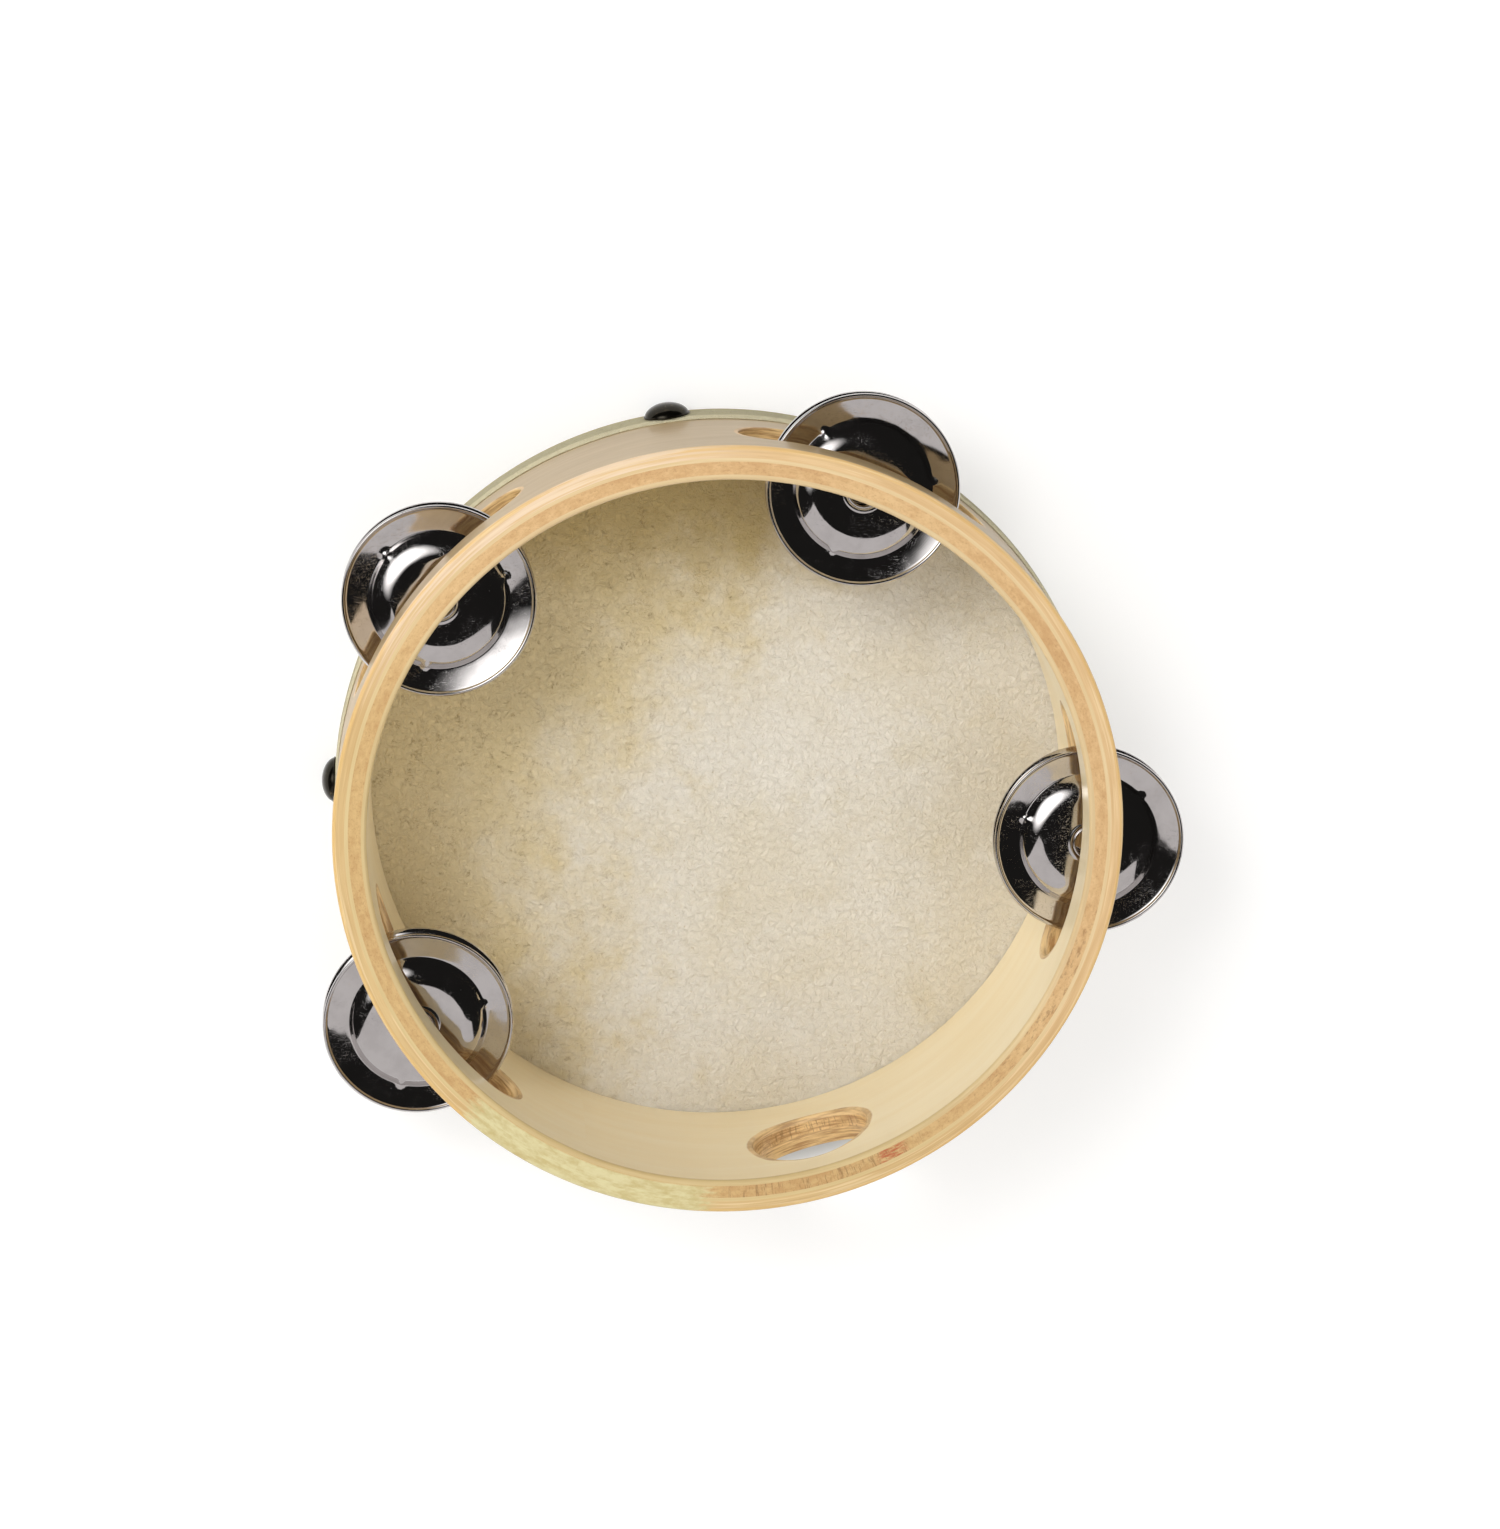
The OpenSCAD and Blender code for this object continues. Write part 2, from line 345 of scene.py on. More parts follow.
def hide():
    """Matt cream hide, stained olive towards its edges, partly as painted shade, with short brown fibres
    and a felted face.
    """
    s = Shader("hide")
    where = s.place()
    x, y, z = s.parts(where)
    blotch = s.noise(s.scaled(where, (0.03,) * 3), detail=4, rough=0.6, twist=0.4)
    patches = s.noise(s.shifted(s.scaled(where, (0.085,) * 3), (5.1, 2.7, 0)), detail=5, rough=0.62)
    colour = s.mix(s.between(blotch, 0.36, 0.66), srgb(231, 226, 215), srgb(226, 218, 200))
    colour = s.mix(s.math("MULTIPLY", s.between(patches, 0.52, 0.74), 0.3), colour, srgb(212, 199, 162))

    # staining and painted shade grow towards the upper left edge, the side the rim shades
    far = s.math("MULTIPLY", s.math("MAXIMUM", y, 0.0), 0.55)
    lean = s.math("SUBTRACT", far, s.math("MULTIPLY", x, 0.62))
    stain_shade_noise = s.math("MULTIPLY", s.math("SUBTRACT", patches, 0.5), 50)
    stain_and_shade = s.between(s.math("ADD", lean, stain_shade_noise), 2, 34)
    colour = s.mix(s.math("MULTIPLY", stain_and_shade, 0.8), colour, srgb(217, 198, 149))
    # darker and yellower along the far edge, by the wall: partly stain, partly painted shade
    rim_stain_and_shade = s.between(s.math("ADD", y, s.math("MULTIPLY", stain_shade_noise, 0.6)), 34, 56)
    colour = s.mix(s.math("MULTIPLY", rim_stain_and_shade, 0.6), colour, srgb(170, 146, 84))

    # short curled fibres: thin lines where a wound noise crosses its middle value
    wound = s.noise(s.scaled(where, (0.34,) * 3), detail=4, rough=0.7, twist=1.6)
    line = s.math("ABSOLUTE", s.math("SUBTRACT", wound, 0.5))
    thin = s.between(line, 0.012, 0.002)
    breaks = s.between(s.noise(s.scaled(where, (0.5,) * 3), detail=2), 0.53, 0.63)
    fibre = s.math("MULTIPLY", thin, breaks)
    # fibres show more where the stain and painted shade are
    fibre = s.math("MULTIPLY", fibre, s.math("ADD", s.math("MULTIPLY", stain_and_shade, 0.75), 0.25))
    colour = s.mix(s.math("MULTIPLY", fibre, 0.7), colour, srgb(158, 124, 66))
    curl = s.noise(s.shifted(s.scaled(where, (0.6,) * 3), (9, 4, 0)), detail=3, rough=0.65, twist=2.2)
    hairline = s.between(s.math("ABSOLUTE", s.math("SUBTRACT", curl, 0.5)), 0.010, 0.002)
    tufts = s.between(s.noise(s.shifted(s.scaled(where, (0.16,) * 3), (3, 8, 0)), detail=3), 0.5, 0.62)
    in_tufts = s.math("MULTIPLY", hairline, tufts)
    tuft = s.math("MULTIPLY", in_tufts, s.math("ADD", s.math("MULTIPLY", stain_and_shade, 0.5), 0.4))
    colour = s.mix(s.math("MULTIPLY", tuft, 0.75), colour, srgb(160, 126, 66))
    speck = s.between(s.noise(s.scaled(where, (1.1,) * 3), detail=2, rough=0.5), 0.7, 0.78)
    colour = s.mix(s.math("MULTIPLY", speck, 0.4), colour, srgb(174, 146, 94))

    # the turned-up band is thinner and greyer, with a pale cut edge; its see-through look on the drum is
    # not rendered
    height = s.math("ADD", z, s.math("MULTIPLY", s.math("SUBTRACT", patches, 0.5), 2.2))
    on_band = s.between(z, 0.9, 2.2)
    colour = s.mix(on_band, colour, srgb(190, 181, 144))
    pale = s.math("MULTIPLY", s.between(height, BAND_H / MM - 2.6, BAND_H / MM - 1.9), on_band)
    colour = s.mix(s.math("MULTIPLY", pale, 0.8), colour, srgb(228, 218, 182))

    felt = s.noise(s.scaled(where, (0.85,) * 3), detail=6, rough=0.64, twist=0.9)
    # painted shade in the felt's hollows: the hide is darker where the felt lies low
    colour = s.mix(s.math("MULTIPLY", s.between(felt, 0.5, 0.3), 0.18), colour, srgb(176, 158, 118))
    swell = s.noise(s.scaled(where, (0.12,) * 3), detail=2)
    relief = s.math("ADD", felt, s.math("MULTIPLY", fibre, 0.12))
    s.set(Base_Color=colour, Roughness=0.78, IOR=1.4, Specular_IOR_Level=0.3, Sheen_Weight=0.08,
          Sheen_Roughness=0.6)
    s.set(Normal=s.bump(relief, 0.78 * MM, 1.0, after=s.bump(swell, 1.0 * MM, 0.5)))
    return s.material


def plated(name, seed, centre):
    """Bright nickel plating with hairline scratches, fine pits and faint rings round its centre."""
    s = Shader(name)
    local = s.shifted(s.place(), tuple(-c / MM for c in centre))
    x, y, _ = s.parts(local)
    ring = s.math("SQRT", s.math("ADD", s.math("MULTIPLY", x, x), s.math("MULTIPLY", y, y)))
    rings = s.noise(s.joined(ring, 0.0, 0.0), scale=5.0, detail=3, rough=0.7)
    where = s.shifted(local, (seed * 7.3, seed * 3.1, seed * 1.7))
    tilted = s.scaled(where, (0.35, 3.2, 0.35))
    across = s.scaled(where, (3.0, 0.4, 0.4))
    hair = s.between(s.noise(tilted, scale=3.0, detail=4, rough=0.8, twist=0.5), 0.60, 0.68)
    hair_b = s.between(s.noise(across, scale=2.8, detail=4, rough=0.8, twist=0.7), 0.61, 0.69)
    worn = s.between(s.noise(where, scale=0.16, detail=3), 0.38, 0.62)
    scratch = s.math("MULTIPLY", s.math("MAXIMUM", hair, hair_b), worn)
    pits = s.between(s.noise(where, scale=4.4, detail=2), 0.75, 0.81)
    smudge = s.noise(where, scale=0.22, detail=3)
    rough = s.math("ADD", 0.05, s.math("MULTIPLY", scratch, 0.15))
    rough = s.math("ADD", rough, s.math("MULTIPLY", pits, 0.22))
    rough = s.math("ADD", rough, s.math("MULTIPLY", s.between(smudge, 0.5, 0.75), 0.06))
    colour = s.mix(s.between(smudge, 0.35, 0.7), (0.66, 0.635, 0.63, 1), (0.60, 0.575, 0.57, 1))
    wave = s.noise(where, scale=0.16, detail=1)
    marks = s.math("MULTIPLY", s.math("MAXIMUM", scratch, pits), -1.0)
    s.set(Base_Color=colour, Metallic=1.0, Roughness=rough)
    turned = s.bump(rings, 0.0035 * MM, 0.6, after=s.bump(wave, 0.18 * MM, 0.5))
    s.set(Normal=s.bump(marks, 0.007 * MM, 0.7, after=turned))
    return s.material


def bronzed():
    """Dark bronzed tack metal, worn brighter in spots."""
    s = Shader("bronzed")
    where = s.place()
    worn = s.between(s.noise(where, scale=0.9, detail=4, rough=0.7), 0.55, 0.72)
    colour = s.mix(worn, srgb(46, 43, 36), srgb(86, 77, 60))
    rough = s.math("ADD", 0.16, s.math("MULTIPLY", worn, 0.14))
    s.set(Base_Color=colour, Metallic=0.9, Roughness=rough)
    s.set(Normal=s.bump(s.noise(where, scale=0.8, detail=3), 0.08 * MM, 0.5))
    return s.material


def drawn_wire():
    """Steel wire with lengthwise drawing lines."""
    s = Shader("drawn_wire")
    where = s.place()
    lines = s.noise(s.scaled(where, (6, 6, 0.15)), detail=3)
    colour = s.mix(lines, (0.56, 0.55, 0.53, 1), (0.36, 0.35, 0.34, 1))
    s.set(Base_Color=colour, Metallic=1.0, Roughness=s.math("ADD", 0.2, s.math("MULTIPLY", lines, 0.2)))
    s.set(Normal=s.bump(lines, 0.02 * MM, 0.5))
    return s.material


# ---------------------------------------------------------------- hoop

TOP_STEPS, SIDE_STEPS = 48, 12   # points along a station's long and short edges
SPREAD_STEPS = 9                 # rings between an opening and its station's border
SPREAD_POWER = 1.4               # above 1, the rings crowd towards the opening


def cut_outline(length, height, grow):
    """A round-ended opening seen along the hoop's radius. Its points pair with station_border's."""
    straight, r, corner = (length - height) / 2, height / 2 + grow, math.pi / 4

    def along_long_side(distance):
        """From the left end's upper diagonal over the top to the right end's."""
        cap = r * (math.pi / 2 - corner)
        if distance < cap:
            angle = math.pi - corner - distance / r
            return -straight + r * math.cos(angle), r * math.sin(angle)
        if distance > cap + 2 * straight:
            angle = math.pi / 2 - (distance - cap - 2 * straight) / r
            return straight + r * math.cos(angle), r * math.sin(angle)
        return -straight + distance - cap, r

    total = 2 * r * (math.pi / 2 - corner) + 2 * straight
    top = [along_long_side(total * i / TOP_STEPS) for i in range(TOP_STEPS)]
    angles = [corner - 2 * corner * i / SIDE_STEPS for i in range(SIDE_STEPS)]
    right = [(straight + r * math.cos(a), r * math.sin(a)) for a in angles]
    half = top + right
    return half + [(-t, -z) for t, z in half]


def station_border(low, high):
    """The border of one station, as (angle from its middle, height), from the upper left corner on."""
    half_step = STATION_STEP / 2
    top = [(-half_step + STATION_STEP * i / TOP_STEPS, high) for i in range(TOP_STEPS)]
    right = [(half_step, high + (low - high) * i / SIDE_STEPS) for i in range(SIDE_STEPS)]
    bottom = [(-angle, low) for angle, _ in top]
    left = [(-half_step, low + high - z) for _, z in right]
    return top + right + bottom + left


def cylinder_point(r, angle, z):
    return (r * math.cos(angle), r * math.sin(angle), z)


def ply_mesh(name, r_in, r_out, ease_in, ease_out):
    """One closed ply with its slots and finger hole. ease_* is the rounding on its inner and outer face."""
    points, faces = [], []

    def add_grid(rows):
        """Adds rows of points, each a closed ring, and the quads between them."""
        start = len(points)
        for row in rows:
            points.extend(row)
        faces.extend(tuple(start + i for i in quad) for quad in grid_faces(len(rows), len(rows[0])))

    def face_rings(r, rim, cut, middle, length, height, z_mid):
        """Rings on a bent face, from its station's border in to the opening."""
        border = station_border(WOOD_LOW + rim, WOOD_HIGH - rim)
        outline = cut_outline(length, height, cut)
        inner = [(math.asin(t / r), z_mid + z) for t, z in outline]
        rings = []
        for step in range(SPREAD_STEPS + 1):
            share = (1 - step / SPREAD_STEPS) ** SPREAD_POWER
            rings.append([cylinder_point(r, middle + a + (b - a) * share, z + (h - z) * share)
                          for (a, z), (b, h) in zip(inner, border)])
        return rings

    def cut_ring(r, grow, middle, length, height, z_mid):
        outline = cut_outline(length, height, grow)
        return [cylinder_point(r, middle + math.asin(t / r), z_mid + z) for t, z in outline]

    rim_out, rim_in = (EASE if ease_out else 0), (EASE if ease_in else 0)
    cut_out, cut_in = (CUT_EASE if ease_out else 0), (CUT_EASE if ease_in else 0)
    for station in range(STATIONS):
        middle = FIRST_SLOT + station * STATION_STEP
        is_hole = station == HOLE_STATION
        shape = (middle, HOLE_D, HOLE_D, HOLE_Z) if is_hole else (middle, SLOT_L, SLOT_H, SLOT_Z)
        rings = face_rings(r_out, rim_out, cut_out, *shape)
        quarter = np.radians(np.linspace(0, 90, 5))[1:]
        if cut_out:
            rings += [cut_ring(r_out - cut_out * (1 - math.cos(a)), cut_out * (1 - math.sin(a)), *shape)
                      for a in quarter]
        rings.append(cut_ring((r_out - cut_out + r_in + cut_in) / 2, 0, *shape))
        if cut_in:
            rings += [cut_ring(r_in + cut_in * (1 - math.cos(a)), cut_in * (1 - math.sin(a)), *shape)
                      for a in quarter[::-1]]
        rings += face_rings(r_in, rim_in, cut_in, *shape)[::-1]
        add_grid(rings)

    def rim_corner(r_face, centre, ease, start):
        """The rounded or sharp corner of a rim, in section, turning from start by a quarter."""
        if not ease:
            return [(r_face, WOOD_HIGH)]
        return arc((centre, WOOD_HIGH - ease), ease, start, start + 90, 5)

    section = rim_corner(r_out, r_out - rim_out, rim_out, 0)
    section += [((r_out - rim_out + r_in + rim_in) / 2, WOOD_HIGH)]
    section += rim_corner(r_in, r_in + rim_in, rim_in, 90)
    rim_steps = STATIONS * TOP_STEPS
    around = [FIRST_SLOT - STATION_STEP / 2 + TURN * i / rim_steps for i in range(rim_steps)]
    both_rims = WOOD_LOW + WOOD_HIGH
    add_grid([[cylinder_point(r, a, z) for a in around] for r, z in section])
    add_grid([[cylinder_point(r, a, both_rims - z) for a in around] for r, z in section])

    ply = mesh_object(name, points, faces)
    weld(ply)
    unroll(ply)
    mark_cuts(ply)
    return ply


def mark_cuts(obj):
    """Stores 1 at points on the walls of the slots and of the finger hole, 0 elsewhere."""
    co = np.array([v.co[:] for v in obj.data.vertices])
    r, angle = np.hypot(co[:, 0], co[:, 1]), np.arctan2(co[:, 1], co[:, 0])
    near = np.zeros(len(co))
    for station in range(STATIONS):
        is_hole = station == HOLE_STATION
        length, height, z_mid = (HOLE_D, HOLE_D, HOLE_Z) if is_hole else (SLOT_L, SLOT_H, SLOT_Z)
        turn = (angle - FIRST_SLOT - station * STATION_STEP + math.pi) % TURN - math.pi
        t, z = r * np.sin(turn), co[:, 2] - z_mid
        beyond = np.maximum(np.abs(t) - (length - height) / 2, 0)
        gap = np.abs(np.hypot(beyond, z) - height / 2)
        near = np.maximum(near, (gap < 1.3 * CUT_EASE) & (np.abs(turn) < 1))
    layer = obj.data.attributes.new("sawn", "FLOAT", "POINT")
    layer.data.foreach_set("value", near.astype(np.float32))


def unroll(obj):
    """Stores each face corner's place along the ply, from the seam, and its height."""
    mesh = obj.data
    layer = mesh.uv_layers.new(name="along")
    co = np.array([v.co[:] for v in mesh.vertices])
    angle = np.arctan2(co[:, 1], co[:, 0])
    for face in mesh.polygons:
        corners = list(face.vertices)
        centre = co[corners].mean(axis=0)
        base = math.atan2(centre[1], centre[0])
        base_along = (base - SEAM) % TURN
        for loop, vertex in zip(face.loop_indices, corners):
            turn = (angle[vertex] - base + math.pi) % TURN - math.pi
            layer.data[loop].uv = ((base_along + turn) * HOOP_R, co[vertex, 2])


def build_hoop():
    looks = {
        # the outer ply's face colours are darker than its rim, partly as painted shade on the outer wall
        "hoop_outer_ply": wood("wood_outer", srgb(226, 194, 146), srgb(208, 170, 120), srgb(192, 150, 100),
                               (0.045, 1.6, 0.55), face=(srgb(186, 161, 120), srgb(166, 140, 99)),
                               outer_line=True, shift=11, varnish=0.2),
        "hoop_light_ply": wood("wood_light", srgb(227, 203, 159), srgb(217, 189, 141), srgb(206, 172, 122),
                               (0.05, 2.0, 0.5), shift=47),
        "hoop_core_ply": wood("wood_core", srgb(223, 188, 137), srgb(202, 160, 110), srgb(168, 122, 74),
                              (0.55, 1.1, 0.06), fleck=0.45, shift=83, spots=True),
        # the inner veneer's face colours are paler than its rim, partly as painted light on the inner wall
        "hoop_inner_veneer": wood("wood_inner", srgb(223, 199, 154), srgb(209, 181, 136),
                                  srgb(200, 168, 120), (0.03, 1.6, 0.42),
                                  face=(srgb(252, 238, 204), srgb(247, 228, 186)), shift=131),
    }
    for node, r_in, r_out in zip(PLIES, ply_inner, ply_outer):
        ply = ply_mesh(node + "_wood", r_in, r_out, node == PLIES[-1], node == PLIES[0])
        steady_normals(ply)
        ply.data.materials.append(looks[node])
        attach(ply, "hoop")
        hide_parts(node)


# ---------------------------------------------------------------- skin


def ripple(angle, waves):
    """A smooth closed wobble round the hoop, from -1 to 1."""
    return sum(size * math.sin(count * angle + phase) for count, size, phase in waves)


BAND_WAVES = ((3, 0.3, 0.4), (7, 0.3, 2.1), (11, 0.25, 4.0), (19, 0.15, 1.2))
EDGE_WAVES = ((4, 0.35, 1.0), (9, 0.3, 3.3), (17, 0.2, 0.2), (31, 0.15, 5.1))
TACK_ANGLES = [math.atan2(sum(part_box(f"tack_{k}")[i][1] for i in (0, 1)),
                          sum(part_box(f"tack_{k}")[i][0] for i in (0, 1))) for k in range(1, 5)]
TACK_Z = sum(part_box("tack_1")[i][2] for i in (0, 1)) / 2


def build_skin():
    """One closed sheet: the stretched disc, its turn round the hoop's edge, and the band tacked outside."""
    outer_turn = EASE + SKIN_T
    thin = 0.1 * MM   # half the thickness of the band's pared edge
    pared_height = 2.2 * MM
    slack_lift, inner_lift, edge_wave = 0.38 * MM, 0.2 * MM, 0.35 * MM   # how far the band strays
    pinch_reach, slack_reach, gathered = 7 * MM, 4 * MM, 6 * MM
    disc_steps, band_steps, segments = 26, 12, 480
    disc = [HOOP_R * 0.985 * (i / disc_steps) ** 0.8 for i in range(1, disc_steps)]
    section = [(r, SKIN_T) for r in disc]
    section += arc((HOOP_R - EASE, SKIN_T + EASE), EASE, -90, 0, 4)
    section += [(HOOP_R, EASE + SKIN_T + (BAND_H - thin - EASE - SKIN_T) * i / band_steps)
                for i in range(1, band_steps)]
    section += arc((HOOP_R + thin, BAND_H - thin), thin, 180, 0, 6)
    for i in range(1, band_steps):
        z = BAND_H - thin - (BAND_H - thin - outer_turn) * i / band_steps
        pared = max(0.0, 1 - (BAND_H - z) / pared_height)
        section.append((BAND_R - (SKIN_T - 2 * thin) * pared, z))
    section += arc((HOOP_R - EASE, outer_turn), outer_turn, 0, -90, 6)
    section += [(r, 0.0) for r in disc[::-1]]

    points = []
    for r, z in section:
        for i in range(segments):
            angle = TURN * i / segments
            lift = 0.0
            rise = z
            if r > HOOP_R - EASE and z > EASE:
                share = min(1.0, (z - EASE) / slack_reach)
                near = min(abs((angle - t + math.pi) % TURN - math.pi) for t in TACK_ANGLES)
                pinch = math.exp(-(near * HOOP_R / pinch_reach) ** 2)
                slack = 0.5 + 0.5 * ripple(angle, BAND_WAVES)
                fall_off = 1 - 0.85 * max(0.0, (z - gathered) / (BAND_H - gathered))
                lift = slack_lift * slack * share * (1 - pinch) * fall_off
                if r <= HOOP_R + 1e-9:
                    lift = min(lift, inner_lift) * 0.5
                top_share = max(0.0, (z - 0.6 * BAND_H) / (0.4 * BAND_H))
                rise = z + edge_wave * ripple(angle, EDGE_WAVES) * top_share
            points.append(((r + lift) * math.cos(angle), (r + lift) * math.sin(angle), rise))
    faces = grid_faces(len(section), segments)
    first, last = len(points), len(points) + 1
    points += [(0, 0, SKIN_T), (0, 0, 0)]
    bottom = (len(section) - 1) * segments
    for i in range(segments):
        k = (i + 1) % segments
        faces.append((first, k, i))
        faces.append((last, bottom + i, bottom + k))
    skin = mesh_object("skin_hide", points, faces)
    weld(skin)
    steady_normals(skin)
    skin.data.materials.append(hide())
    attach(skin, "hoop")
    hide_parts("skin_head")


# ---------------------------------------------------------------- tacks and pins


def build_tacks():
    metal = bronzed()
    head_r, head_h = 4.5 * MM, 2.6 * MM
    shank_r, shank_l = 0.8 * MM, 5.4 * MM
    lip_r, dome_low = 0.2 * MM, 0.22 * MM
    dome = [(head_r * 0.955 * math.sin(a), dome_low + (head_h - dome_low) * math.cos(a) ** 1.15)
            for a in np.radians(np.linspace(4, 88, 16))]
    lip = arc((head_r - lip_r, lip_r), lip_r, 60, -90, 6)
    under = [(head_r * 0.8, 0.12 * MM), (head_r * 0.45, 0.5 * MM), (shank_r * 1.05, 0.55 * MM)]
    shank = [(shank_r, lip_r), (shank_r, -shank_l * 0.75), (shank_r * 0.15, -shank_l)]
    section = dome + lip + under + shank
    segments = 64
    for k, angle in enumerate(TACK_ANGLES, 1):
        points = [(r * math.cos(TURN * i / segments), r * math.sin(TURN * i / segments), h)
                  for r, h in section for i in range(segments)]
        faces = grid_faces(len(section), segments, flip=True)
        top, tip = len(points), len(points) + 1
        points += [(0, 0, head_h), (0, 0, -shank_l)]
        bottom = (len(section) - 1) * segments
        for i in range(segments):
            j = (i + 1) % segments
            faces.append((top, i, j))
            faces.append((tip, bottom + j, bottom + i))
        turn = Matrix.Rotation(angle, 4, "Z") @ Matrix.Translation((BAND_R, 0, TACK_Z)) \
            @ Matrix.Rotation(math.pi / 2, 4, "Y")
        tack = mesh_object(f"tack_{k}_nail", [turn @ Vector(p) for p in points], faces)
        weld(tack)
        steady_normals(tack)
        tack.data.materials.append(metal)
        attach(tack, "hoop")
        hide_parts(f"tack_{k}")


def dress_pins():
    wire = drawn_wire()
    for k in range(1, 5):
        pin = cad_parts[f"pin_{k}"]
        for place in pin.material_slots:
            place.material = wire


# ---------------------------------------------------------------- jingles

# The sheet's slope, in degrees, at distances in millimetres from the jingle's centre
SLOPES = ((2.8, 0), (8.2, -1.0), (9.4, -12), (11.0, -27), (12.5, -46), (13.0, -42), (13.4, 5),
          (13.8, 10.5), (15.5, 12.5), (17.6, 15), (17.9, 36), (18.3, 46))
SHEET = 0.45 * MM
NIB_R, NIB_H, NIB_WIDE = 13.1 * MM, 0.55 * MM, 0.62 * MM
WARP = 0.06 * MM
NIB_TURNS = (4, 18, 14, 40)   # where the first of each pair's three nibs points, in degrees
# How each pair leans on its pin, in degrees about X and Y, upper disc then lower disc
LEANS = (((-1.2, 0.6), (0.5, 0.4)), ((-0.3, -0.6), (-0.2, 0.3)), ((3.0, 2.2), (2.0, 1.4)),
         ((-0.4, -1.6), (-0.5, 0.8)))


def jingle_section():
    """Distances from the centre, and heights over the valley, of the sheet's underside."""
    knots_r = [r for r, _ in SLOPES]
    fine = np.linspace(knots_r[0], knots_r[-1], 1200)
    slope = np.tan(np.radians(np.interp(fine, knots_r, [s for _, s in SLOPES])))
    height = np.concatenate([[0], np.cumsum((slope[1:] + slope[:-1]) / 2 * np.diff(fine))])
    height -= height.min()
    # the pressed lip of the centre hole and the ring round it
    height += 0.30 * np.exp(-((fine - 2.85) / 0.22) ** 2) + 0.12 * np.exp(-((fine - 3.75) / 0.25) ** 2)
    bend = np.abs(np.gradient(np.gradient(height, fine), fine))
    density = 1 / 0.55 + np.minimum(bend * 3.0, 6.0)
    reach = np.concatenate([[0], np.cumsum((density[1:] + density[:-1]) / 2 * np.diff(fine))])
    picks = np.interp(np.linspace(0, reach[-1], int(reach[-1]) + 1), reach, fine)
    return picks * MM, np.interp(picks, fine, height) * MM


def build_jingles():
    radii, heights = jingle_section()
    slope = np.gradient(heights, radii)
    normal_r, normal_z = -slope / np.hypot(1, slope), 1 / np.hypot(1, slope)
    top_r, top_z = radii + normal_r * SHEET, heights + normal_z * SHEET
    section_r = np.concatenate([radii, [radii[-1] + 0.16 * MM], top_r[::-1], [top_r[0] - 0.02 * MM]])
    section_z = np.concatenate([heights, [(heights[-1] + top_z[-1]) / 2], top_z[::-1],
                                [(heights[0] + top_z[0]) / 2]])
    segments = 192
    turns = np.arange(segments) * TURN / segments
    for k in range(1, 5):
        for side, flip in (("upper", 1), ("lower", -1)):
            node = f"jingle_{k}_{side}"
            low, high = (Vector(c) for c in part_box(node))
            centre = Vector(((low.x + high.x) / 2, (low.y + high.y) / 2, low.z if flip > 0 else high.z))
            first_nib = math.radians(NIB_TURNS[k - 1] + (0 if flip > 0 else 60))
            r = section_r[:, None] * np.ones(segments)
            x, y = r * np.cos(turns), r * np.sin(turns)
            z = section_z[:, None] * np.ones(segments)
            for nib in range(3):
                at = first_nib + nib * TURN / 3
                off = np.hypot(x - NIB_R * math.cos(at), y - NIB_R * math.sin(at))
                z = z + NIB_H * np.exp(-(off / NIB_WIDE) ** 2)
            # a struck sheet is never quite round or flat
            z = z + WARP * (r / radii[-1]) ** 2 * np.cos(2 * turns + 1.3 * k + flip)
            lean_x, lean_y = LEANS[k - 1][0 if flip > 0 else 1]
            about_x = Matrix.Rotation(math.radians(lean_x), 3, "X")
            lean = about_x @ Matrix.Rotation(math.radians(lean_y), 3, "Y")
            flat = np.stack([x, y, flip * z], axis=-1).reshape(-1, 3)
            points = flat @ np.array(lean).T + np.array(centre)
            faces = grid_faces(len(section_r), segments, close_rows=True, flip=flip > 0)
            disc = mesh_object(node + "_disc", points, faces)
            weld(disc)
            disc.data.materials.append(plated(node + "_plate", 2 * k + (flip > 0), centre))
            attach(disc, node)
            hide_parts(node)


# ---------------------------------------------------------------- stage, light and camera


def emission(name, colour, strength):
    material = bpy.data.materials.new(name)
    material.use_nodes = True
    nodes = material.node_tree.nodes
    nodes.clear()
    glow = nodes.new("ShaderNodeEmission")
    glow.inputs["Color"].default_value = colour
    glow.inputs["Strength"].default_value = strength
    out = nodes.new("ShaderNodeOutputMaterial")
    material.node_tree.links.new(glow.outputs[0], out.inputs["Surface"])
    return material


def build_floor():
    half = 2.5
    corners = [(-half, -half, 0), (half, -half, 0), (half, half, 0), (-half, half, 0)]
    floor = mesh_object("floor", corners, [(0, 1, 2, 3)], smooth=False)
    s = Shader("floor_paper")
    x, y, _ = s.parts(s.place())
    away = s.math("SQRT", s.math("ADD", s.math("MULTIPLY", x, x), s.math("MULTIPLY", y, y)))
    glow = s.math("ADD", 0.5, s.math("MULTIPLY", s.between(away, 250, 1500), 0.45))
    # the paper is dark close to the low side of the hoop, in the drum's own shadow
    shadow = s.math("MULTIPLY", s.between(away, HOOP_R / MM + 9, HOOP_R / MM + 4), s.between(y, -50, -62))
    glow = s.math("MULTIPLY", glow, s.math("SUBTRACT", 1.0, s.math("MULTIPLY", shadow, 0.85)))
    s.set(Base_Color=(0.55, 0.55, 0.55, 1), Roughness=0.95)
    s.set(Emission_Color=(1, 1, 1, 1), Emission_Strength=glow)
    floor.data.materials.append(s.material)


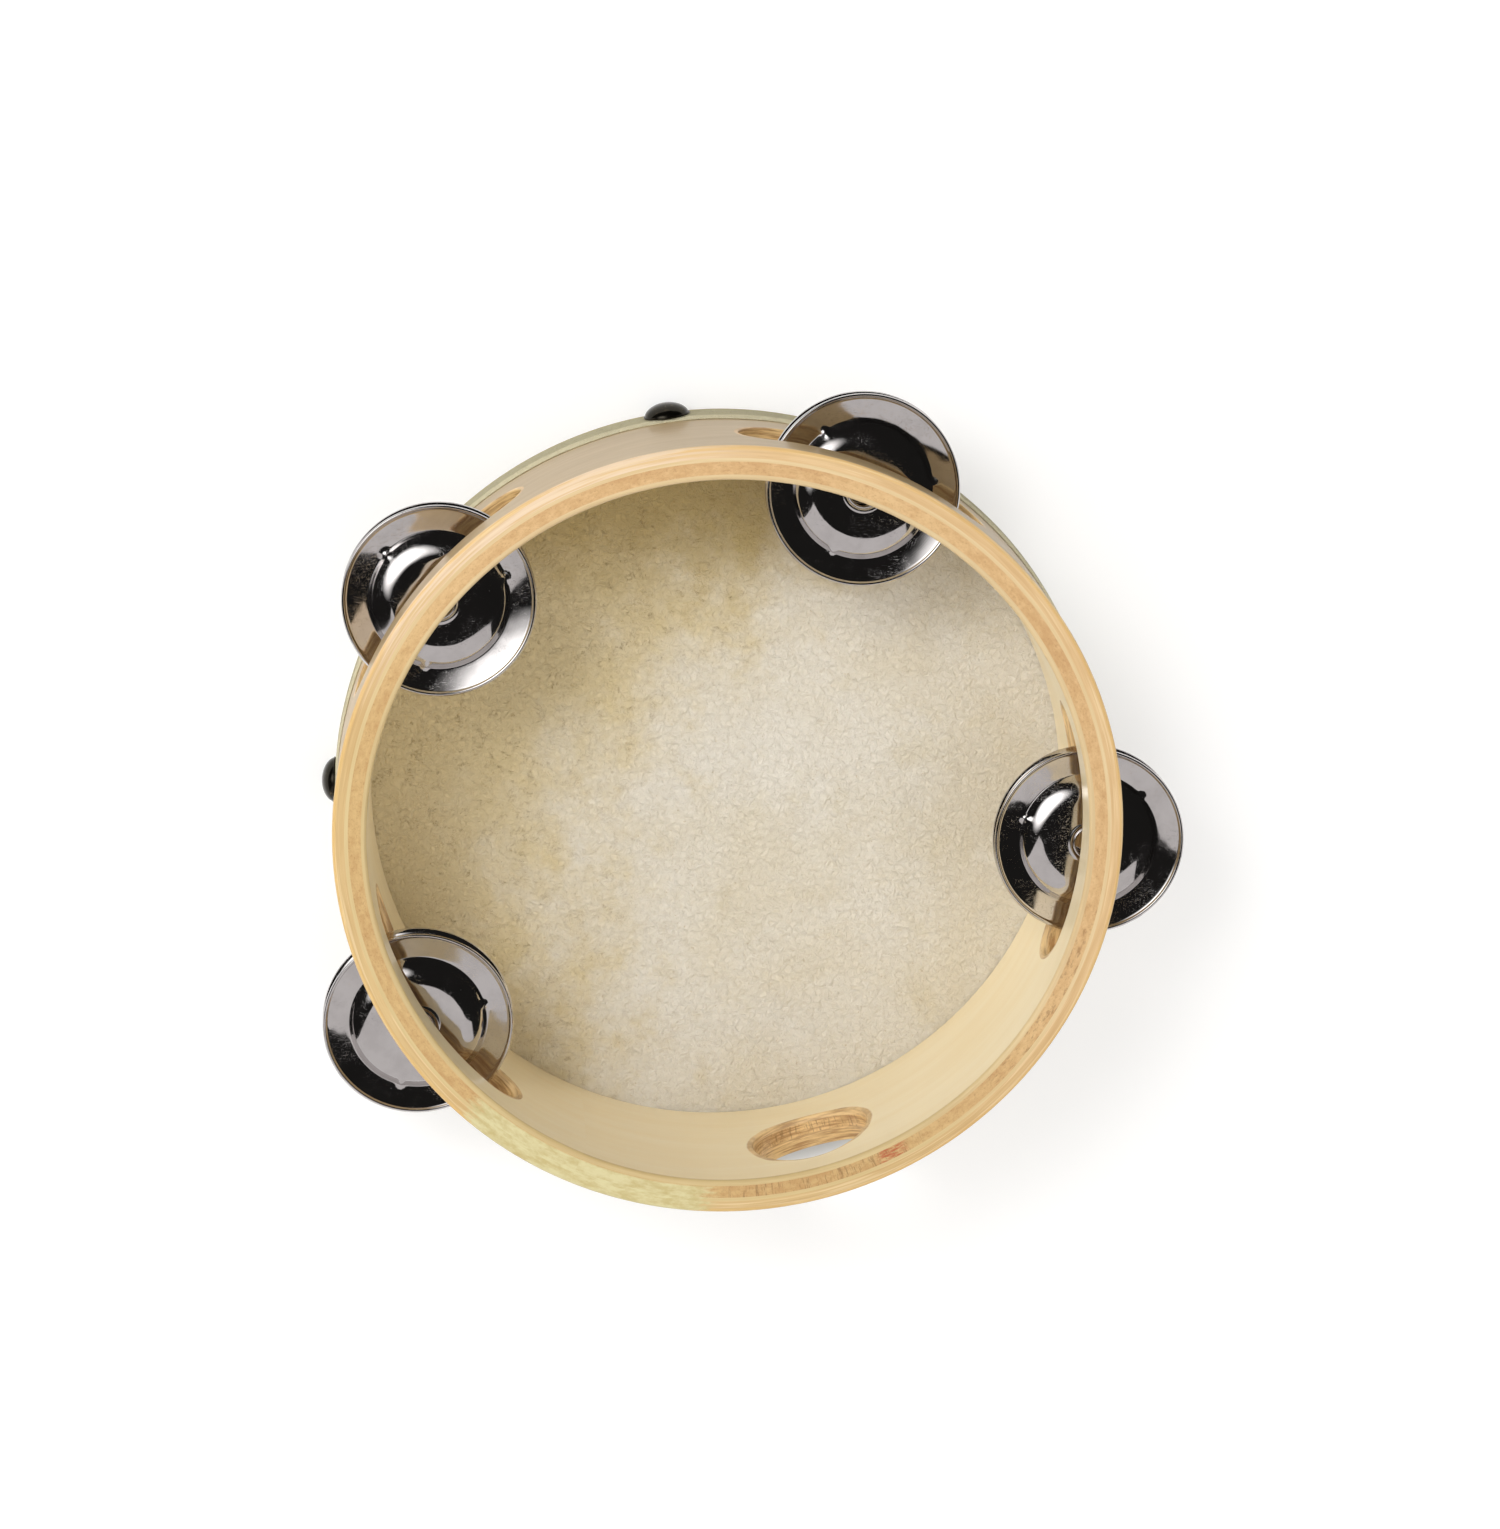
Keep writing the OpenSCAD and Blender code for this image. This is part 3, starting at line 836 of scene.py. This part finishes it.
def build_backdrop():
    """A pale wall far behind everything, which only the camera sees."""
    rings, segments, r = 12, 48, 2.4
    points = [cylinder_point(r * math.cos(a), TURN * j / segments, r * math.sin(a) - 0.01)
              for a in np.radians(np.linspace(0, 88, rings)) for j in range(segments)]
    wall = mesh_object("backdrop", points, grid_faces(rings, segments))
    wall.data.materials.append(emission("backdrop_paper", (1, 1, 1, 1), 1.0))
    wall.visible_diffuse = wall.visible_glossy = wall.visible_transmission = wall.visible_shadow = False


def area_light(name, direction, distance, width, height, radiance, colour):
    """A soft box that faces the drum and isn't mirrored in it. radiance is how bright it looks."""
    data = bpy.data.lights.new(name, "AREA")
    data.shape = "RECTANGLE"
    data.size, data.size_y = width, height
    data.energy = radiance * math.pi * width * height
    data.color = colour
    light = bpy.data.objects.new(name, data)
    towards = Vector(direction).normalized()
    light.location = Vector((0, 0, 0.02)) + towards * distance
    light.rotation_mode = "QUATERNION"
    light.rotation_quaternion = (-towards).to_track_quat("-Z", "Y")
    light.visible_camera = False
    light.visible_glossy = False
    bpy.context.scene.collection.objects.link(light)


def only_mirrored(card):
    card.visible_camera = card.visible_diffuse = card.visible_transmission = card.visible_shadow = False


def build_reflections():
    """What the polished metal mirrors: a grey card beyond the low side, and an upper left soft light."""
    steps = 12
    card_top = 0.8
    top_left, top_right = Vector((-0.40, -0.19, 1.0)) * card_top, Vector((0.80, -0.575, 1.0)) * card_top
    low_left, low_right = Vector((-1.5, -1.0, -0.02)), Vector((1.3, -1.4, -0.02))
    rows = [[top_left.lerp(top_right, j / steps).lerp(low_left.lerp(low_right, j / steps), i / steps)
             for j in range(steps + 1)] for i in range(steps + 1)]
    grey = mesh_object("grey_card", [p for row in rows for p in row],
                       grid_faces(steps + 1, steps + 1, close_columns=False))
    grey.data.materials.append(emission("grey_card", (1.0, 0.965, 0.955, 1), 0.66))
    only_mirrored(grey)

    towards = Vector((-0.487, 0.329, 0.809)).normalized()
    reach, rings, segments, brightest = 0.52, 8, 48, 3.4
    turn = towards.to_track_quat("Z", "Y")
    points = [turn @ Vector((reach * i / rings * math.cos(TURN * j / segments),
                             reach * i / rings * math.sin(TURN * j / segments), 0)) + towards
              for i in range(1, rings + 1) for j in range(segments)]
    faces = grid_faces(rings, segments)
    faces += [(len(points), j, (j + 1) % segments) for j in range(segments)]
    glow = mesh_object("soft_light", points + [towards], faces)
    material = emission("soft_light", (1.0, 0.99, 0.98, 1), 1.0)
    tree = material.node_tree
    place = tree.nodes.new("ShaderNodeNewGeometry")
    gap = tree.nodes.new("ShaderNodeVectorMath")
    gap.operation = "DISTANCE"
    tree.links.new(place.outputs["Position"], gap.inputs[0])
    gap.inputs[1].default_value = towards
    fade = tree.nodes.new("ShaderNodeMapRange")
    fade.interpolation_type = "SMOOTHSTEP"
    fade.inputs["From Min"].default_value = reach
    fade.inputs["From Max"].default_value = 0.2 * reach
    fade.inputs["To Max"].default_value = brightest
    tree.links.new(gap.outputs["Value"], fade.inputs["Value"])
    tree.links.new(fade.outputs[0], next(n for n in tree.nodes if n.type == "EMISSION").inputs["Strength"])
    glow.data.materials.append(material)
    only_mirrored(glow)


WHITE, WARM, CREAM = (1.0, 1.0, 1.0), (1.0, 0.98, 0.95), (1.0, 0.975, 0.93)
KEY_SIDE = (-0.42, 0.50, 0.76)

# Each soft box's name, direction from the drum, distance, width, height, radiance and colour
SOFT_BOXES = (
    ("key", KEY_SIDE, 1.0, 0.25, 0.25, 9.0, WHITE),
    ("key_edge", KEY_SIDE, 1.0, 0.5, 0.5, 4.1, WHITE),
    ("top", (0.03, -0.03, 1.0), 1.6, 1.0, 1.0, 0.46, CREAM),
    ("sky", (0.0, 0.0, 1.0), 1.6, 2.4, 2.4, 0.76, WARM),
    ("front", (0.0, -0.80, 0.60), 0.85, 1.9, 0.95, 0.44, (1.0, 0.98, 0.96)),
    ("right", (0.8, -0.1, 0.6), 1.2, 1.0, 1.0, 1.44, WARM),
    ("left", (-0.85, 0.1, 0.5), 1.2, 1.0, 1.0, 1.8, WARM),
)


def build_lights():
    world = bpy.data.worlds.new("studio")
    world.use_nodes = True
    world.node_tree.nodes["Background"].inputs["Color"].default_value = (1.0, 0.97, 0.92, 1)
    world.node_tree.nodes["Background"].inputs["Strength"].default_value = 0.013
    bpy.context.scene.world = world
    for row in SOFT_BOXES:
        area_light(*row)
    build_reflections()


CAMERA_AT = (-0.04743, 0.19686, 0.77796)
CAMERA_BACK = (-0.06728, 0.24025, 0.96838)   # the way from what it sees to the camera
CAMERA_UP = (0.01423, 0.97071, -0.23984)
CAMERA_LENS, CAMERA_SENSOR = 95.03, 36.0


def build_camera():
    """The viewpoint above the open rim, a little up and to the left."""
    data = bpy.data.cameras.new("camera")
    data.lens, data.sensor_width = CAMERA_LENS, CAMERA_SENSOR
    camera = bpy.data.objects.new("camera", data)
    back = Vector(CAMERA_BACK).normalized()
    right = Vector(CAMERA_UP).cross(back).normalized()
    up = back.cross(right)
    turn = Matrix((right, up, back)).transposed().to_4x4()
    camera.matrix_world = Matrix.Translation(CAMERA_AT) @ turn
    bpy.context.scene.collection.objects.link(camera)
    bpy.context.scene.camera = camera
    bpy.context.scene.view_settings.view_transform = "Standard"


build_camera()
build_lights()
build_floor()
build_backdrop()
build_hoop()
build_skin()
build_tacks()
dress_pins()
build_jingles()
